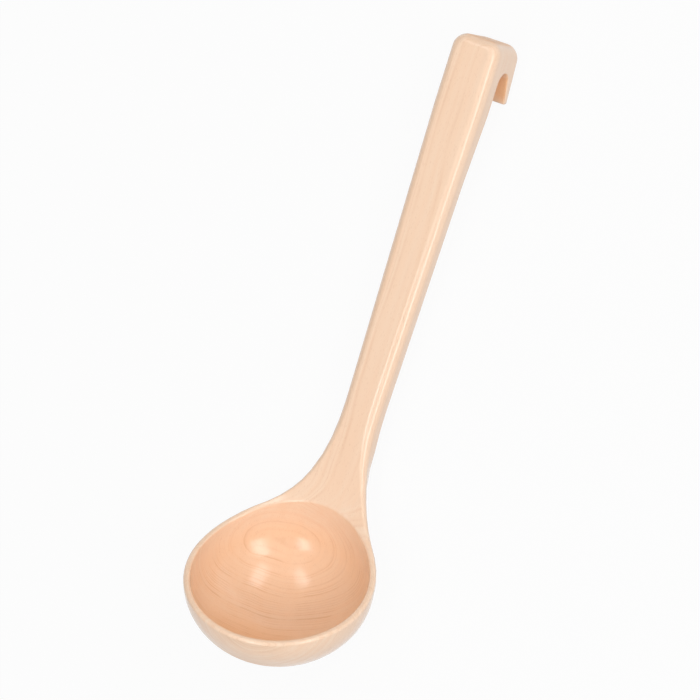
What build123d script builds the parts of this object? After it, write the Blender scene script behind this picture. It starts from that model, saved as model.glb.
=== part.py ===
from build123d import *
import os
from math import acos, atan2, cos, degrees, hypot, pi, radians, sin, sqrt, tan

os.makedirs("parts", exist_ok=True)

# Bowl, measured from its rim plane
bowl_radius = 44.0
bowl_depth = 37.0
bowl_side = 1.0
bowl_foot = 1.5
rim_wall = 3.0
floor_wall = 4.5
cavity_side = 2.0
wall_curve_share = 0.8
rim_round = 1.5

# Neck: the rim plane curves up behind the bowl into the handle, slightly hollow across.
# Its curve, its flare and its back start this far inside the bowl's outer edge.
neck_lead = 30.1
flare_lead = 11.4
back_lead = 25.3
neck_radius = 43.8
handle_rise = 54.9
neck_lean = 24.3
neck_hollow = 5.3

# How far up the handle the neck's flare, and the rest of the neck's form, fade out
flare_length = 45.0
blend_length = 21.0

# Handle, from the end of the neck's curve to the top
handle_length = 214.2
handle_thickness = 11.9
neck_width = 17.4
top_width = 24.1
front_round = 4.7
back_round = 3.5

# Hook, turned down behind the top of the handle
hook_drop = 27.0
hook_top_depth = 26.0
hook_lean = 9.0
hook_round = 3.0
tip_thickness = 4.4
bridge_thickness = 13.0
slot_radius = 5.0
slot_round = 1.2
corner_round = 6.8
hook_margin = 6.0

# Cutters run past what they cut by this much
overrun = 5.0

# Steps between cross sections on each stretch, and where along a stretch a change falls
rim_steps = 3
neck_steps = 8
flare_steps = 5
ease_share = 0.25
slope_step = 0.01
middle_share = 0.5
seam_angle = 20.0

# Steps of the search for the tilt at which the ladle rests on its bowl and its hook's tip
tilt_steps = 40
rest_steps = 200

neck_start = bowl_radius - neck_lead
flare_start = bowl_radius - flare_lead
back_start = bowl_radius - back_lead
neck_length = neck_radius * radians(handle_rise)
handle_start = neck_start + neck_length
handle_top = handle_start + handle_length
hook_start = handle_top - hook_drop - hook_margin
flare_end = handle_start + flare_length
blend_end = handle_start + blend_length
ease_run = hook_start - ease_share * (hook_start - flare_end)


def slope_at(run):
    """Angle in radians of the front surface above the rim plane."""
    return min(max(run - neck_start, 0), neck_length) / neck_radius


def front_at(run):
    """Point of the front surface's centre line: distance behind the bowl's centre, and height."""
    slope = slope_at(run)
    straight = max(run - handle_start, 0)
    y = min(run, neck_start) + neck_radius * sin(slope) + straight * cos(slope)
    z = neck_radius * (1 - cos(slope)) + straight * sin(slope)
    return y, z


def under_at(run, depth):
    """Point at a depth below the front surface, square to it."""
    slope = slope_at(run)
    y, z = front_at(run)
    return y + depth * sin(slope), z - depth * cos(slope)


def joined(run, start, end, before, after):
    """Follows one law up to start and another from end, with a smooth cubic between them."""
    if run <= start:
        return before(run)
    if run >= end:
        return after(run)
    span = end - start
    way = (run - start) / span
    slope_before = (before(start) - before(start - slope_step)) / slope_step
    slope_after = (after(end + slope_step) - after(end)) / slope_step
    leaving = (1 + 2 * way) * (1 - way) ** 2 * before(start) + way * (1 - way) ** 2 * span * slope_before
    arriving = way**2 * (3 - 2 * way) * after(end) - way**2 * (1 - way) * span * slope_after
    return leaving + arriving


def eased(run, start, end, low, high):
    """Passes from one value to another with no slope at either end."""
    return joined(run, start, end, lambda run: low, lambda run: high)


def swelled(run, start, middle, end, most):
    """Rises from nothing to a value and falls back, with no slope at start, middle or end."""
    if run < middle:
        return eased(run, start, middle, 0, most)
    return eased(run, middle, end, most, 0)


def bowl_half_width(run):
    return sqrt(bowl_radius**2 - front_at(run)[0] ** 2)


def handle_half_width(run):
    share = (run - handle_start) / (hook_start - handle_start)
    return (neck_width + (top_width - neck_width) * share) / 2


def bowl_underside(run):
    """Depth of the bowl's outer curve below the front surface, square to that surface."""
    y, z = front_at(run)
    slope = slope_at(run)
    wide = bowl_radius - bowl_foot
    deep = bowl_depth - rim_round - bowl_side
    if y < bowl_foot:
        return bowl_depth
    y_in, z_in = (y - bowl_foot) / wide, (z + rim_round + bowl_side) / deep
    y_way, z_way = sin(slope) / wide, -cos(slope) / deep
    a, b, c = y_way**2 + z_way**2, y_in * y_way + z_in * z_way, y_in**2 + z_in**2 - 1
    return (-b + sqrt(b**2 - a * c)) / a


def half_width_at(run):
    return joined(run, flare_start, flare_end, bowl_half_width, handle_half_width)


def depth_at(run):
    return joined(run, back_start, blend_end, bowl_underside, lambda run: handle_thickness)


def section_points(run):
    """Half outline of a cross section, from the middle of its front to the middle of its back."""
    half, depth = half_width_at(run), depth_at(run)
    edge = eased(run, flare_start, flare_end, rim_round, front_round)
    handle_share = eased(run, neck_start, blend_end, 0, 1)
    round_share = max(run - ease_run, 0) / (hook_start - ease_run)
    round_over = back_round + (slot_round - back_round) * round_share
    lean = radians(swelled(run, 0, handle_start, blend_end, neck_lean))
    hollow = radians(swelled(run, 0, flare_start, blend_end, neck_hollow))
    front_x = half - edge * (1 + sin(hollow))
    lift = front_x * tan(hollow) / 2
    centre = (half - edge, edge * cos(hollow) - lift)
    flank_start = (centre[0] + edge * cos(lean), centre[1] + edge * sin(lean))
    flank_whole = (depth - flank_start[1]) / cos(lean)
    corner = (flank_start[0] - flank_whole * sin(lean), depth)
    flank_left = (1 - handle_share) * (flank_whole - bowl_side - lift) + handle_share * round_over
    back_left = (1 - handle_share) * (corner[0] - bowl_foot) + handle_share * round_over
    flank_end = (corner[0] + flank_left * sin(lean), depth - flank_left * cos(lean))
    back_end = (corner[0] - back_left, depth)
    return (front_x, -lift), hollow, centre, edge, lean, flank_start, flank_end, corner, back_end


def half_outline(run):
    """Front, round front corner, straight flank and a back corner that is a conic."""
    front_end, hollow, centre, edge, lean, flank_start, flank_end, corner, back_end = section_points(run)
    Bezier((0, 0), (front_end[0] / 2, 0), front_end)
    CenterArc(centre, edge, -90 - degrees(hollow), 90 + degrees(hollow + lean))
    Line(flank_start, flank_end)
    Bezier(flank_end, corner, back_end, weights=[1, cos((pi / 2 - lean) / 2), 1])
    Line(back_end, (0, corner[1]))
    return corner[1]


# The rest tilt: the bowl's lowest point and the hook's tip come to the same height
hook_length = handle_top - hook_start
slot_top = hook_length - bridge_thickness
tip_end = hook_length - hook_drop
tip_depth = hook_top_depth + hook_drop * tan(radians(hook_lean))
rest_runs = [handle_start * step / rest_steps for step in range(rest_steps)]
rest_points = [under_at(run, depth_at(run)) for run in rest_runs]
tip_point = under_at(hook_start + tip_end + slot_round, tip_depth - slot_round)
low_tilt, high_tilt = 0, radians(handle_rise)
for step in range(tilt_steps):
    tilt = (low_tilt + high_tilt) / 2
    bowl_level = min(z * cos(tilt) - y * sin(tilt) for y, z in rest_points)
    tip_level = tip_point[1] * cos(tilt) - tip_point[0] * sin(tilt) - slot_round
    if tip_level > bowl_level:
        low_tilt = tilt
    else:
        high_tilt = tilt

# The rim plane, tilted as it rests, and the upright plane that halves the ladle
rim = Plane(origin=(0, 0, 0), x_dir=(1, 0, 0), z_dir=(0, sin(tilt), cos(tilt)))
side = Plane(origin=rim.origin, x_dir=rim.y_dir, z_dir=rim.x_dir)


def section_plane(run):
    """Plane square to the front surface, its second direction pointing into the wood."""
    slope = slope_at(run)
    along = rim.y_dir * cos(slope) + rim.z_dir * sin(slope)
    return Plane(origin=side.from_local_coords(front_at(run)), x_dir=rim.x_dir, z_dir=along)


def section(run):
    with BuildSketch(section_plane(run)) as outline:
        with BuildLine():
            half_outline(run)
            mirror(about=Plane.YZ)
        make_face()
    return outline.sketch


rim_runs = [neck_start * step / rim_steps for step in range(rim_steps)]
neck_runs = [neck_start + neck_length * step / neck_steps for step in range(neck_steps)]
flare_runs = [handle_start + flare_length * step / flare_steps for step in range(flare_steps)]
runs = rim_runs + neck_runs + flare_runs + [flare_end, ease_run, hook_start]

# Hook: a block with a leaning outer face and rounded corners, its slot cut from below
root = section_plane(hook_start)
face = Plane(origin=root.origin, x_dir=rim.x_dir, z_dir=-root.y_dir)
profile = Plane(origin=root.origin, x_dir=root.y_dir, z_dir=rim.x_dir)
root_depth = hook_top_depth + hook_length * tan(radians(hook_lean))
slot_centre = (handle_thickness + slot_radius, slot_top - slot_radius)
tip_inside = (tip_depth - tip_thickness, tip_end)
slot_reach = (tip_inside[0] - slot_centre[0], slot_centre[1] - tip_inside[1])
slot_flare = acos(slot_radius / hypot(*slot_reach)) - atan2(slot_reach[1], slot_reach[0])
along = Axis(face.origin, face.y_dir)
outward = Axis(face.origin, face.z_dir)


def sharp_edges(edges, solid):
    """Keeps the edges where two faces meet at an angle, and leaves smooth seams out."""
    kept = ShapeList()
    for edge in edges:
        middle = edge.position_at(middle_share)
        normals = [face.normal_at(middle) for face in solid.faces() if edge in face.edges()]
        if len(normals) == 2 and normals[0].get_angle(normals[1]) > seam_angle:
            kept.append(edge)
    return kept


with BuildPart() as hook:
    with BuildSketch(profile):
        with BuildLine():
            Polyline((0, 0), (root_depth, 0), (hook_top_depth, hook_length), (0, hook_length), close=True)
        make_face()
    extrude(amount=top_width / 2, both=True)
    top_face = hook.faces().sort_by(along)[-1]
    fillet(top_face.edges().filter_by(outward), corner_round)
    front_face = hook.faces().filter_by(outward).sort_by(outward)[-1]
    fillet(front_face.edges().sort_by(along)[1:], front_round)
    outer_face = hook.faces().sort_by(outward)[0]
    fillet(outer_face.edges().sort_by(along)[1:], hook_round)
    with BuildSketch(profile):
        with BuildLine():
            saddle = CenterArc(slot_centre, slot_radius, degrees(slot_flare), 180 - degrees(slot_flare))
            Polyline(
                saddle @ 1,
                (handle_thickness, -overrun),
                (root_depth + overrun, -overrun),
                (root_depth + overrun, tip_end),
                tip_inside,
                saddle @ 0,
            )
        make_face()
    extrude(amount=top_width, both=True, mode=Mode.SUBTRACT)
    root_edges = hook.faces().sort_by(along)[0].edges()
    slot_edges = [edge for edge in hook.edges(Select.LAST) if edge not in root_edges]
    fillet(sharp_edges(slot_edges, hook.part), slot_round)

with BuildPart() as carved:
    loft([section(run) for run in runs], ruled=True)

    # Front half of the bowl, turned from the first cross section's half
    with BuildSketch(section_plane(0)):
        with BuildLine():
            depth = half_outline(0)
            Line((0, depth), (0, 0))
        make_face()
    revolve(axis=Axis(rim.origin, -rim.z_dir), revolution_arc=180)
    add(hook)

    # Inside of the bowl
    cavity_radius = bowl_radius - rim_wall
    cavity_depth = bowl_depth - floor_wall
    curved_depth = cavity_depth - cavity_side
    wall_curve = wall_curve_share * curved_depth
    overlap = cavity_radius**2 + curved_depth**2 - 2 * cavity_radius * wall_curve
    floor_curve = overlap / (2 * (curved_depth - wall_curve))
    wall_turn = degrees(atan2(floor_curve - curved_depth, cavity_radius - wall_curve))
    with BuildSketch(side):
        with BuildLine():
            floor = CenterArc((0, floor_curve - cavity_depth), floor_curve, -90, 90 - wall_turn)
            wall = CenterArc((cavity_radius - wall_curve, -cavity_side), wall_curve, -wall_turn, wall_turn)
            Polyline(wall @ 1, (cavity_radius, neck_radius), (0, neck_radius), floor @ 0)
        make_face()
    revolve(axis=Axis(rim.origin, rim.z_dir), mode=Mode.SUBTRACT)

# The ladle at rest, with the origin under the middle of its length and width
with BuildPart() as ladle:
    box = carved.part.bounding_box()
    with Locations((-box.center().X, -box.center().Y, -box.min.Z)):
        add(carved)

ladle.part.label = "ladle"
export_step(ladle.part, "parts/ladle.step")
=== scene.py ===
# %% [markdown]
# # A wooden soup ladle
# The ladle is one piece of pale beech: a turned bowl, a neck that sweeps up out of the bowl's rim,
# a long handle that widens towards its top, and a hook turned down behind that top. Its shape
# comes from the CAD model. This lesson gives it a smooth skin, a wood finish, a camera, a floor
# and soft light.

# %% Load the frame
from math import cos, radians, sin

import bmesh
import bpy
from mathutils import Matrix, Quaternion, Vector


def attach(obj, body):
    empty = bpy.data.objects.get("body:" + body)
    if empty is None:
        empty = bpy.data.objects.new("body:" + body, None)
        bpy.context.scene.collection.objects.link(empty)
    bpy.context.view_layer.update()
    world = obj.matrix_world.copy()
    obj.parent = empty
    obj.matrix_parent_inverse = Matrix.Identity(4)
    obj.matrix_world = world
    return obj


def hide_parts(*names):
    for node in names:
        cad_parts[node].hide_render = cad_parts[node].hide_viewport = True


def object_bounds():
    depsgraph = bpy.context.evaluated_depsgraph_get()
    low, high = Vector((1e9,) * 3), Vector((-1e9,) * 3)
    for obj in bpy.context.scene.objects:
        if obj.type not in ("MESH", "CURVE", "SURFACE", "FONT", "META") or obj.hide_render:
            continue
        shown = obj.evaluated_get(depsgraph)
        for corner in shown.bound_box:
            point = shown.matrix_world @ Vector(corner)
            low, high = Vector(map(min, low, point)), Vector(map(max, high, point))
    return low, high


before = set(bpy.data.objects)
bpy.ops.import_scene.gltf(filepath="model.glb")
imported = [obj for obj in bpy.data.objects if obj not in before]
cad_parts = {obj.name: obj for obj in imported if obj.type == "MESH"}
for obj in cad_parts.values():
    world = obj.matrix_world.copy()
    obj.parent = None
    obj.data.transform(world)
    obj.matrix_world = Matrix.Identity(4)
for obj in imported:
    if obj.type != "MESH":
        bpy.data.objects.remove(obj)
cad_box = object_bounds()
low, high = Vector(cad_box[0]), Vector(cad_box[1])
millimetre = 0.001
print("size in mm:", [round(side / millimetre, 1) for side in high - low])

# %% [markdown]
# ## Camera
# The photograph looks down on the bowl and along the front of the handle, from far away with a
# long lens, so that the handle hardly tapers towards the viewer. A camera placed by azimuth,
# elevation, distance and roll around a target point is easy to read and to correct.

# %% Set up the camera
view_azimuth = radians(14.77)
view_elevation = radians(65.87)
view_roll = radians(-84.63)
view_distance = 1.3948
view_lens = 158.3
view_target = Vector((-0.0045, -0.0028, 0.0429))
level = cos(view_elevation)
away = Vector((cos(view_azimuth) * level, sin(view_azimuth) * level, sin(view_elevation)))

camera_data = bpy.data.cameras.new("camera")
camera_data.lens = view_lens
camera_data.sensor_width = 36.0
camera_data.clip_start = 0.05
camera_data.clip_end = 20.0
camera = bpy.data.objects.new("camera", camera_data)
bpy.context.scene.collection.objects.link(camera)
camera.location = view_target + away * view_distance
camera.rotation_mode = "QUATERNION"
camera.rotation_quaternion = (-away).to_track_quat("-Z", "Y") @ Quaternion((0, 0, 1), view_roll)
bpy.context.scene.camera = camera
print("camera at", [round(value, 3) for value in camera.location])

# %% [markdown]
# ## Skin
# The CAD mesh is made of loose triangles, which would show as flat facets on the turned bowl and
# the swept neck. A copy with its doubles merged can be shaded smooth. Sanding has also broken the
# one sharp edge that the CAD model keeps, the lip where the bowl's inside meets its rim, so the
# copy gets a small bevel there. The CAD mesh itself stays as it is, and the copy stands for it.

# %% Copy, merge and smooth the ladle
merge_distance = 0.001 * millimetre
sharp_angle = radians(40)
lip_round = 0.8 * millimetre


def sanded_copy(node, name):
    """A merged copy of a CAD node, its sharp edges rounded over, shaded smooth."""
    work = bmesh.new()
    work.from_mesh(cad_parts[node].data)
    bmesh.ops.remove_doubles(work, verts=work.verts, dist=merge_distance)
    lip = [edge for edge in work.edges if edge.calc_face_angle(0) > sharp_angle]
    bmesh.ops.bevel(
        work, geom=lip, offset=lip_round, offset_type="OFFSET", segments=3, profile=0.5,
        affect="EDGES", clamp_overlap=True, material=-1,
    )
    print("lip edges rounded:", len(lip))
    for face in work.faces:
        face.smooth = True
    mesh = bpy.data.meshes.new(name)
    work.to_mesh(mesh)
    work.free()
    piece = bpy.data.objects.new(name, mesh)
    bpy.context.scene.collection.objects.link(piece)
    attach(piece, "root")
    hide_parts(node)
    return piece


ladle = sanded_copy("ladle", "ladle_wood")
print("ladle faces:", len(ladle.data.polygons), "vertices:", len(ladle.data.vertices))

# %% [markdown]
# ## Even normals
# Long thin triangles on the flat faces pull the smooth normals aside. A Weighted Normal modifier
# lets the large faces decide, so that flats stay flat and only the rounds between them turn.

# %% Weight the normals
even = ladle.modifiers.new("even normals", "WEIGHTED_NORMAL")
even.mode = "FACE_AREA_WITH_ANGLE"
even.keep_sharp = True
print("modifiers:", [modifier.name for modifier in ladle.modifiers])

# %% [markdown]
# ## Helpers for materials
# A material is a small network of nodes, and small helpers keep it short to write. Here one adds a
# node and fills its sockets, and one makes a node group with named inputs and outputs.

# %% Node helpers
def add(nodes, kind, values=None, **settings):
    """Adds a node, sets its options, and fills its input sockets by name or number."""
    node = nodes.new(kind)
    for name, value in settings.items():
        setattr(node, name, value)
    for name, value in (values or {}).items():
        node.inputs[name].default_value = value
    return node


def new_group(name, inputs, outputs):
    """A shader node group with the given sockets, and its input and output nodes."""
    group = bpy.data.node_groups.new(name, "ShaderNodeTree")
    for socket, kind, value in inputs:
        made = group.interface.new_socket(socket, in_out="INPUT", socket_type=kind)
        if value is not None:
            made.default_value = value
    for socket, kind in outputs:
        group.interface.new_socket(socket, in_out="OUTPUT", socket_type=kind)
    return group, group.nodes.new("NodeGroupInput"), group.nodes.new("NodeGroupOutput")


print("node helpers:", add.__name__, new_group.__name__)

# %% [markdown]
# ## Helpers for values
# A pattern starts as a noise. A ramp turns the part of its range that counts into a mask from 0 to
# 1, a product weakens one mask by another or by a plain number, and a mix lays one colour over
# another where a mask is strong.

# %% Value helpers
def noise(nodes, scale, detail, roughness, **settings):
    """A noise texture."""
    values = {"Scale": scale, "Detail": detail, "Roughness": roughness}
    return add(nodes, "ShaderNodeTexNoise", values, **settings)


def ramp(nodes, link, value, start, end, first=0.0, last=1.0, kind="LINEAR"):
    """A value that runs from first to last while the given one runs from start to end."""
    limits = {"From Min": start, "From Max": end, "To Min": first, "To Max": last}
    run = add(nodes, "ShaderNodeMapRange", limits, interpolation_type=kind)
    link(value, run.inputs["Value"])
    return run.outputs["Result"]


def product(nodes, link, value, *others):
    """The product of an output socket with other outputs or plain numbers."""
    for other in others:
        times = add(nodes, "ShaderNodeMath", operation="MULTIPLY")
        link(value, times.inputs[0])
        if isinstance(other, float):
            times.inputs[1].default_value = other
        else:
            link(other, times.inputs[1])
        value = times.outputs[0]
    return value


def mix_colour(nodes, link, factor, first, second):
    """A colour mix, each end a colour value or an output socket."""
    mix = add(nodes, "ShaderNodeMix", data_type="RGBA")
    link(factor, mix.inputs["Factor"])
    for socket, colour in ((mix.inputs[6], first), (mix.inputs[7], second)):
        if isinstance(colour, tuple):
            socket.default_value = colour
        else:
            link(colour, socket)
    return mix.outputs[2]


print("value helpers:", [helper.__name__ for helper in (noise, ramp, product, mix_colour)])

# %% [markdown]
# ## Counting the growth layers
# The ladle is cut from one board. Its growth layers are parts of wide cylinders round the tree's
# heart, so they bow a little across the board, and they lean across the handle by some 12 degrees.
# The handle's front cuts them into long streaks, while the hollow of the bowl cuts down through
# them and shows each as a flat ring. One pattern does both: it measures height square to the
# layers in millimetres, bent by a broad noise, and counts the layers up to there. A slow noise on
# the count makes some of them thicker than others.

# %% Layer count group
handle_slope = radians(3.5)
layer_lean = radians(12)
layer_radius = 85.0
layer_spacing = 0.95
layer_waviness = 4.8
layer_unevenness = 2.4
bend_scale = (0.028, 0.008, 0.028)


def layer_count():
    """Node group: the layers counted up to a point, and the point on the bend's own scale."""
    group, given, result = new_group(
        "layer count",
        [("Point", "NodeSocketVector", None)],
        [("Count", "NodeSocketFloat"), ("Bent", "NodeSocketVector")],
    )
    nodes, link = group.nodes, group.links.new
    bent = add(nodes, "ShaderNodeVectorMath", {1: bend_scale}, operation="MULTIPLY")
    broad = noise(nodes, 1.0, 2.0, 0.5)
    centred = add(nodes, "ShaderNodeMath", {1: 0.5}, operation="SUBTRACT")
    split = add(nodes, "ShaderNodeSeparateXYZ")
    bowed = add(nodes, "ShaderNodeMath", {1: -0.5 / layer_radius}, operation="MULTIPLY_ADD")
    height = add(nodes, "ShaderNodeMath", operation="ADD")
    even = add(nodes, "ShaderNodeMath", {1: layer_spacing}, operation="DIVIDE")
    pace = noise(nodes, 0.35, 1.0, 0.5, noise_dimensions="1D")
    count = add(nodes, "ShaderNodeMath", {1: layer_unevenness}, operation="MULTIPLY_ADD")
    link(given.outputs["Point"], bent.inputs[0])
    link(bent.outputs["Vector"], broad.inputs["Vector"])
    link(broad.outputs["Fac"], centred.inputs[0])
    link(given.outputs["Point"], split.inputs[0])
    link(product(nodes, link, split.outputs["X"], split.outputs["X"]), bowed.inputs[0])
    link(split.outputs["Z"], bowed.inputs[2])
    link(bowed.outputs[0], height.inputs[0])
    link(product(nodes, link, centred.outputs[0], layer_waviness), height.inputs[1])
    link(height.outputs[0], even.inputs[0])
    link(even.outputs[0], pace.inputs["W"])
    link(pace.outputs["Fac"], count.inputs[0])
    link(even.outputs[0], count.inputs[2])
    link(count.outputs[0], result.inputs["Count"])
    link(bent.outputs["Vector"], result.inputs["Bent"])
    return group


count_group = layer_count()
print("layer count:", len(count_group.nodes), "nodes")

# %% [markdown]
# ## Growth layers
# A layer darkens towards its late wood and ends in a thin darker line. Some years are darker than
# others, so a noise over the count gives each layer its tone and another gives each line its
# strength. A line also fades in places along its length, by a third noise.

# %% Growth layer group
late_start, late_end = 0.30, 0.86


def growth_layers():
    """Node group: layer tone and late wood line, each from 0 to 1."""
    group, given, result = new_group(
        "growth layers",
        [("Count", "NodeSocketFloat", None), ("Bent", "NodeSocketVector", None)],
        [("Tone", "NodeSocketFloat"), ("Line", "NodeSocketFloat")],
    )
    nodes, link = group.nodes, group.links.new
    tone = noise(nodes, 0.45, 3.0, 0.6, noise_dimensions="1D")
    year = noise(nodes, 0.9, 1.0, 0.5, noise_dimensions="1D")
    fading = noise(nodes, 3.5, 2.0, 0.6)
    within = add(nodes, "ShaderNodeMath", operation="FRACT")
    for socket in (tone.inputs["W"], year.inputs["W"], within.inputs[0]):
        link(given.outputs["Count"], socket)
    link(given.outputs["Bent"], fading.inputs["Vector"])
    late = ramp(nodes, link, within.outputs[0], late_start, late_end, kind="SMOOTHSTEP")
    ended = ramp(nodes, link, within.outputs[0], late_end, 1.0, 1.0, 0.0)
    bold = ramp(nodes, link, year.outputs["Fac"], 0.38, 0.68, 0.12, 1.0)
    faded = ramp(nodes, link, fading.outputs["Fac"], 0.38, 0.62, 0.15, 1.0)
    link(ramp(nodes, link, tone.outputs["Fac"], 0.32, 0.68), result.inputs["Tone"])
    link(product(nodes, link, late, ended, bold, faded), result.inputs["Line"])
    return group


layers_group = growth_layers()
print("growth layers:", len(layers_group.nodes), "nodes")

# %% [markdown]
# ## Fibres and flecks
# Wood fibres run the length of the board: broad soft streaks a few millimetres across, and fine
# ones thinner than half a millimetre. Beech also has short darker dashes, where its rays come to
# the surface. All three are patterns that are stretched along the handle.

# %% Fibre group
streak_scale = (0.26, 0.009, 0.26)
fibre_scale = (1.9, 0.04, 1.9)
fleck_scale = (1.5, 0.35, 1.5)


def wood_fibres():
    """Node group: soft streaks, fine fibres and short dashes along Y, each from 0 to 1."""
    group, given, result = new_group(
        "wood fibres",
        [("Point", "NodeSocketVector", None)],
        [(name, "NodeSocketFloat") for name in ("Streak", "Fibre", "Fleck")],
    )
    nodes, link = group.nodes, group.links.new
    streak = noise(nodes, 1.0, 3.0, 0.6)
    fibre = noise(nodes, 1.0, 4.0, 0.65)
    cells = add(nodes, "ShaderNodeTexVoronoi", {"Scale": 1.0, "Randomness": 1.0})
    for scale, texture in ((streak_scale, streak), (fibre_scale, fibre), (fleck_scale, cells)):
        stretched = add(nodes, "ShaderNodeVectorMath", {1: scale}, operation="MULTIPLY")
        link(given.outputs["Point"], stretched.inputs[0])
        link(stretched.outputs["Vector"], texture.inputs["Vector"])
    dash = ramp(nodes, link, cells.outputs["Distance"], 0.10, 0.28, 1.0, 0.0)
    link(ramp(nodes, link, streak.outputs["Fac"], 0.33, 0.67), result.inputs["Streak"])
    link(fibre.outputs["Fac"], result.inputs["Fibre"])
    link(dash, result.inputs["Fleck"])
    return group


fibres_group = wood_fibres()
print("fibres:", len(fibres_group.nodes), "nodes")

# %% [markdown]
# ## End grain
# Where a surface cuts across the fibres, as at the hook's top and on the far wall of the bowl,
# their open ends drink the lacquer, so the wood turns deeper and more orange and its coat duller.
# How squarely a surface cuts them is the square of its normal's part along the fibres.

# %% End grain group
def end_grain():
    """Node group: how far a surface cuts the fibres squarely, from 0 to 1."""
    group, given, result = new_group(
        "end grain", [("Normal", "NodeSocketVector", None)], [("End", "NodeSocketFloat")]
    )
    nodes, link = group.nodes, group.links.new
    fibre_way = {1: (0, cos(handle_slope), sin(handle_slope))}
    along = add(nodes, "ShaderNodeVectorMath", fibre_way, operation="DOT_PRODUCT")
    link(given.outputs["Normal"], along.inputs[0])
    squared = product(nodes, link, along.outputs["Value"], along.outputs["Value"])
    link(ramp(nodes, link, squared, 0.60, 1.0, kind="SMOOTHSTEP"), result.inputs["End"])
    return group


end_group = end_grain()
print("end grain:", len(end_group.nodes), "nodes")

# %% [markdown]
# ## Painted shade in the hollows
# The bowl and the hook's slot get painted shade: a deeper, more orange colour inside, standing in
# for the shade and warm bounced light in a hollow. The mask takes points within reach of a hollow's
# middle whose surface faces that middle, which leaves the outside out. It grows with the distance
# from the mouth.

# %% Hollow group
bowl_place, bowl_mouth = Vector((0, -0.110, 0.046)), (0, 0.7818, 0.6235)
bowl_reach, bowl_fade = 41.5 * millimetre, 14.0 * millimetre
slot_place, slot_mouth = (0, 0.122, 0.013), (0, -1, 0)
slot_reach, slot_fade = 20.0 * millimetre, 7.0 * millimetre


def hollow():
    """Node group: how deep inside a hollow a point lies, from 0 at its mouth to 1."""
    group, given, result = new_group(
        "hollow",
        [(name, "NodeSocketVector", None) for name in ("Point", "Normal", "Middle", "Mouth")]
        + [(name, "NodeSocketFloat", None) for name in ("Reach", "Fade")],
        [("Depth", "NodeSocketFloat")],
    )
    nodes, link = group.nodes, group.links.new
    inwards = add(nodes, "ShaderNodeVectorMath", operation="SUBTRACT")
    distance = add(nodes, "ShaderNodeVectorMath", operation="LENGTH")
    near = add(nodes, "ShaderNodeMath", operation="LESS_THAN")
    facing, below = (add(nodes, "ShaderNodeVectorMath", operation="DOT_PRODUCT") for _ in range(2))
    inner = add(nodes, "ShaderNodeMath", {1: 0.0}, operation="GREATER_THAN")
    depth = add(nodes, "ShaderNodeMapRange", interpolation_type="SMOOTHSTEP")
    link(given.outputs["Middle"], inwards.inputs[0])
    link(given.outputs["Point"], inwards.inputs[1])
    for node in (distance, facing, below):
        link(inwards.outputs["Vector"], node.inputs[0])
    link(distance.outputs["Value"], near.inputs[0])
    link(given.outputs["Reach"], near.inputs[1])
    link(given.outputs["Normal"], facing.inputs[1])
    link(facing.outputs["Value"], inner.inputs[0])
    link(given.outputs["Mouth"], below.inputs[1])
    link(below.outputs["Value"], depth.inputs["Value"])
    link(given.outputs["Fade"], depth.inputs["From Max"])
    masks = near.outputs[0], inner.outputs[0], depth.outputs["Result"]
    link(product(nodes, link, *masks), result.inputs["Depth"])
    return group


hollow_group = hollow()
print("hollow:", len(hollow_group.nodes), "nodes")

# %% [markdown]
# ## Masks of the wood
# Every pattern reads Object coordinates, turned so that the board's fibres run along Y and its
# layers lie flat, and counted in millimetres. The masks are gathered under their names.

# %% Gather the masks
def wood_masks(nodes, link):
    """The output sockets of all masks, by name."""
    place = add(nodes, "ShaderNodeTexCoord")
    turn = {"Rotation": (-handle_slope, -layer_lean, 0), "Scale": (1 / millimetre,) * 3}
    board = add(nodes, "ShaderNodeMapping", turn)
    bowl_values = dict(Middle=bowl_place, Mouth=bowl_mouth, Reach=bowl_reach, Fade=bowl_fade)
    slot_values = dict(Middle=slot_place, Mouth=slot_mouth, Reach=slot_reach, Fade=slot_fade)
    count = add(nodes, "ShaderNodeGroup", node_tree=count_group)
    layers = add(nodes, "ShaderNodeGroup", node_tree=layers_group)
    fibres = add(nodes, "ShaderNodeGroup", node_tree=fibres_group)
    ends = add(nodes, "ShaderNodeGroup", node_tree=end_group)
    bowl = add(nodes, "ShaderNodeGroup", bowl_values, node_tree=hollow_group)
    slot = add(nodes, "ShaderNodeGroup", slot_values, node_tree=hollow_group)
    link(place.outputs["Object"], board.inputs["Vector"])
    for patterns in (count, fibres):
        link(board.outputs["Vector"], patterns.inputs["Point"])
    for name in ("Count", "Bent"):
        link(count.outputs[name], layers.inputs[name])
    for part in (bowl, slot):
        link(place.outputs["Object"], part.inputs["Point"])
    for part in (ends, bowl, slot):
        link(place.outputs["Normal"], part.inputs["Normal"])
    masks = {name: layers.outputs[name] for name in ("Tone", "Line")}
    masks.update({name: fibres.outputs[name] for name in ("Streak", "Fibre", "Fleck")})
    masks.update(End=ends.outputs["End"], Bowl=bowl.outputs["Depth"], Slot=slot.outputs["Depth"])
    return masks


print("masks come from:", [group.name for group in bpy.data.node_groups])
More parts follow.
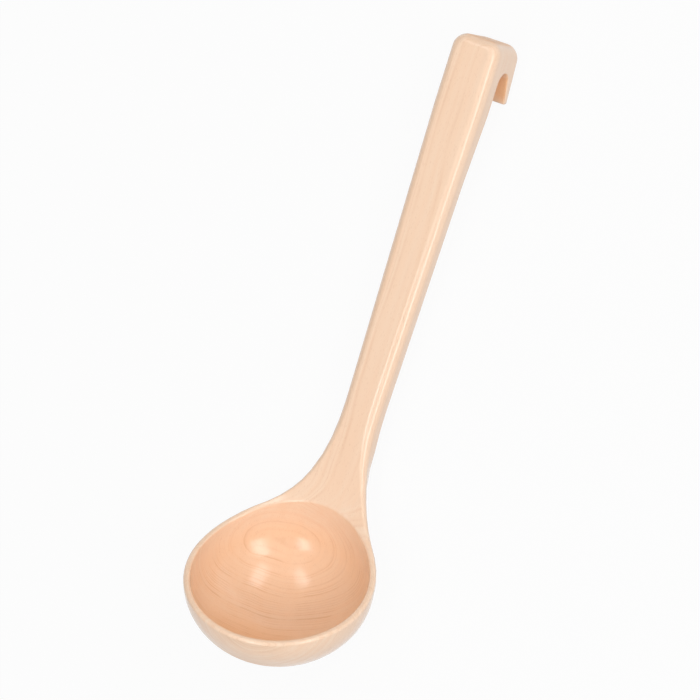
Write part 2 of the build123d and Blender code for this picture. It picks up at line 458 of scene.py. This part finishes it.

# %% [markdown]
# ## Beech under satin lacquer
# The finish is a clear satin coat over pale, slightly pink wood. Layers, streaks and fibres move
# the colour a little, end grain makes it deeper, painted shade deepens it inside the bowl and the
# hook's slot, and lines and flecks draw the figure.
# The lines are clearer in the bowl, where the lacquer is thicker. The fibres also give the coat a
# trace of relief, because thin lacquer sinks into the pores.

# %% Beech material
pale, warm, deep = (0.95, 0.725, 0.55, 1), (0.93, 0.63, 0.43, 1), (0.94, 0.52, 0.26, 1)
late_wood, brown = (0.70, 0.36, 0.18, 1), (0.60, 0.30, 0.15, 1)
# The bowl and slot tints are painted shade in the hollows; the other tints are the wood's own
# colour.
tints = [
    ("Tone", 0.55, warm), ("Streak", 0.50, warm), ("Fibre", 0.35, warm),
    ("End", 0.55, deep), ("Bowl", 0.38, deep), ("Slot", 0.80, deep),
    ("Line", 1.0, late_wood), ("Fleck", 0.20, brown),
]
line_on_handle, line_in_bowl = 0.27, 0.58
coat_on_face, coat_on_end_grain = 1.0, 0.2
relief_depth = 0.05 * millimetre


def beech():
    """Pale beech with growth layers, streaks, fibres, flecks and a satin clear coat."""
    material = bpy.data.materials.new("beech")
    material.use_nodes = True
    nodes, link = material.node_tree.nodes, material.node_tree.links.new
    masks = wood_masks(nodes, link)
    clear = ramp(nodes, link, masks["Bowl"], 0.0, 1.0, line_on_handle, line_in_bowl)
    masks["Line"] = product(nodes, link, masks["Line"], clear)
    colour = pale
    for name, share, tint in tints:
        colour = mix_colour(nodes, link, product(nodes, link, masks[name], share), colour, tint)
    coat = ramp(nodes, link, masks["End"], 0.0, 1.0, coat_on_face, coat_on_end_grain)
    relief = add(nodes, "ShaderNodeBump", {"Strength": 0.15, "Distance": relief_depth})
    link(masks["Fibre"], relief.inputs["Height"])
    shader = nodes["Principled BSDF"]
    link(colour, shader.inputs["Base Color"])
    link(coat, shader.inputs["Coat Weight"])
    link(relief.outputs["Normal"], shader.inputs["Normal"])
    shader.inputs["Roughness"].default_value = 0.5
    shader.inputs["Specular IOR Level"].default_value = 0.1
    shader.inputs["Coat Roughness"].default_value = 0.18
    shader.inputs["Coat IOR"].default_value = 1.7
    return material


ladle.data.materials.clear()
ladle.data.materials.append(beech())
print("materials on the ladle:", [slot.name for slot in ladle.data.materials])

# %% [markdown]
# ## Floor
# The ladle lies on the back of its bowl and the tip of its hook, on a plain pale floor. The
# photograph's background is cut out to white. A grey floor that is lit to white would throw too
# much light on the ladle, so the camera and mirror images see it mostly as a white glow, by way of
# the Light Path node, and its own colour keeps a faint shadow.

# %% Floor
floor_size = 20.0
floor_gap = 0.05 * millimetre
floor_colour = (0.60, 0.60, 0.60, 1)
background_share = 0.94

work = bmesh.new()
bmesh.ops.create_grid(work, x_segments=1, y_segments=1, size=floor_size / 2)
bmesh.ops.translate(work, verts=work.verts, vec=(0, 0, low.z - floor_gap))
floor_mesh = bpy.data.meshes.new("floor")
work.to_mesh(floor_mesh)
work.free()
floor = bpy.data.objects.new("floor", floor_mesh)
bpy.context.scene.collection.objects.link(floor)

paper = bpy.data.materials.new("white floor")
paper.use_nodes = True
nodes, link = paper.node_tree.nodes, paper.node_tree.links.new
nodes["Principled BSDF"].inputs["Base Color"].default_value = floor_colour
nodes["Principled BSDF"].inputs["Roughness"].default_value = 0.9
glow = add(nodes, "ShaderNodeEmission", {"Color": (1, 1, 1, 1), "Strength": 1.0})
rays = add(nodes, "ShaderNodeLightPath")
blend = add(nodes, "ShaderNodeMixShader")
mirrored, seen = (add(nodes, "ShaderNodeMath", operation="MAXIMUM") for _ in range(2))
link(rays.outputs["Is Glossy Ray"], mirrored.inputs[0])
link(rays.outputs["Is Transmission Ray"], mirrored.inputs[1])
link(rays.outputs["Is Camera Ray"], seen.inputs[0])
link(mirrored.outputs[0], seen.inputs[1])
link(product(nodes, link, seen.outputs[0], background_share), blend.inputs[0])
link(nodes["Principled BSDF"].outputs[0], blend.inputs[1])
link(glow.outputs[0], blend.inputs[2])
link(blend.outputs[0], nodes["Material Output"].inputs["Surface"])
floor_mesh.materials.append(paper)
print("floor at", round(low.z - floor_gap, 6))

# %% [markdown]
# ## Light
# A white world and a wide fill panel behind the camera light the ladle evenly, and four soft boxes
# round the camera give it shape. The hollow bowl mirrors each box as a soft spot, two above two
# and turned round, so that the low boxes make the upper spots. Each box runs between two
# directions, given from the bowl along the view's own right, up and towards the camera. The fill
# is kept out of the mirror images, where it would veil the bowl.

# %% Lights
world_strength = 0.34
world = bpy.data.worlds.new("studio")
world.use_nodes = True
world.node_tree.nodes["Background"].inputs["Color"].default_value = (1, 1, 1, 1)
world.node_tree.nodes["Background"].inputs["Strength"].default_value = world_strength
bpy.context.scene.world = world

view_axes = camera.rotation_quaternion.to_matrix()


def soft_box(name, first_way, last_way, width, power, distance=1.5):
    """A rectangular lamp that looks at the bowl and runs between two directions of the view."""
    first, last = (view_axes @ Vector(way).normalized() * distance for way in (first_way, last_way))
    lamp = bpy.data.lights.new(name, "AREA")
    lamp.shape = "RECTANGLE"
    lamp.size, lamp.size_y = width, (last - first).length
    lamp.energy = power
    piece = bpy.data.objects.new(name, lamp)
    piece.location = bowl_place + (first + last) / 2
    back = (first + last).normalized()
    side = (last - first).cross(back).normalized()
    piece.rotation_mode = "QUATERNION"
    piece.rotation_quaternion = Matrix((side, back.cross(side), back)).transposed().to_quaternion()
    bpy.context.scene.collection.objects.link(piece)
    return piece


lamps = [
    soft_box("low right strip", (0.47, -0.50, 0.73), (0.33, 0.15, 0.93), 0.37, 3.8),
    soft_box("low left box", (-0.38, -0.66, 0.65), (-0.47, -0.06, 0.88), 0.42, 3.8),
    soft_box("high right box", (0.29, 0.40, 0.87), (0.42, 0.68, 0.60), 0.30, 1.6),
    soft_box("high left box", (-0.29, 0.47, 0.83), (-0.44, 0.67, 0.59), 0.27, 1.2),
    soft_box("front fill", (0.0, -0.35, 0.93), (0.0, 0.60, 0.80), 2.40, 25.0, distance=2.5),
]
lamps[-1].visible_glossy = False
print("lamps:", [lamp.name for lamp in lamps])

# %% [markdown]
# ## Colour handling
# The Standard view shows a colour as it is written, without the softer contrast of a film look.

# %% Set the view
bpy.context.scene.view_settings.view_transform = "Standard"
print("view transform:", bpy.context.scene.view_settings.view_transform)
